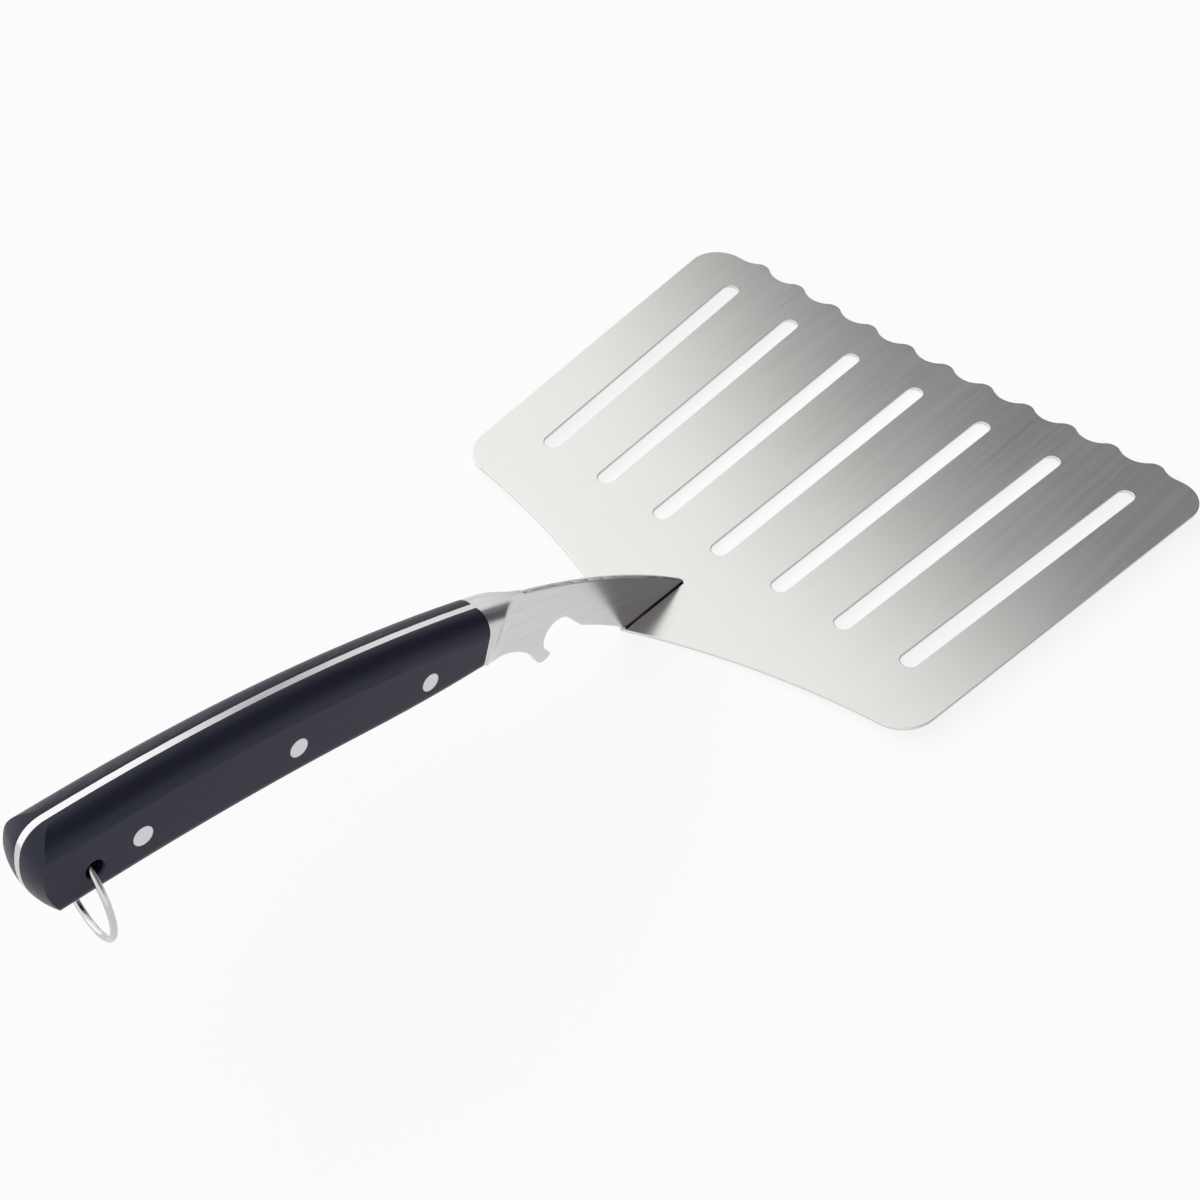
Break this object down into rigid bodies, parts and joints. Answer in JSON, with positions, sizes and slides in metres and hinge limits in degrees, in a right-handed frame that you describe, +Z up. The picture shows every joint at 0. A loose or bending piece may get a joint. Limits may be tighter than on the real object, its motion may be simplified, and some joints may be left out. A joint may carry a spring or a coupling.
{
  "type": "grill spatula",
  "caption": "Wide slotted grill spatula with a scalloped front edge, a forged neck with a bottle opener, a riveted full-tang handle and a loose hanging ring.",
  "frame": {"origin": "bottom of the blade's trough, midway between the blade's front edge and the handle's butt, on the middle plane", "axes": "+X from the butt towards the blade's front edge, +Y to the left seen along +X, +Z up from the level blade"},
  "size_m": [0.4324, 0.2486, 0.1049],
  "materials": {
    "blade_steel": "fine satin stainless sheet",
    "forged_steel": "brushed lengthwise, satin bolster",
    "weld_steel": "heat-tinted weld bead, cleaned",
    "handle_scale": "satin black moulded plastic",
    "rivet_steel": "satin, ground flush",
    "ring_steel": "bright drawn wire"
  },
  "bodies": {
    "tool": {"blade": "blade_steel", "neck_forging": "forged_steel", "weld_bead_left": "weld_steel", "weld_bead_right": "weld_steel", "scale_left": "handle_scale", "scale_right": "handle_scale", "front_rivet_barrel": "rivet_steel", "front_rivet_pin": "rivet_steel", "middle_rivet_barrel": "rivet_steel", "middle_rivet_pin": "rivet_steel", "rear_rivet_barrel": "rivet_steel", "rear_rivet_pin": "rivet_steel"},
    "ring": {"hang_ring": "ring_steel"}
  },
  "joints": [
    {"name": "ring_swing", "type": "hinge", "parent": "tool", "child": "ring", "pos_m": [-0.1998, 0, 0.0854], "axis": [0, 1, 0], "range_deg": [-60, 220]}
  ]
}
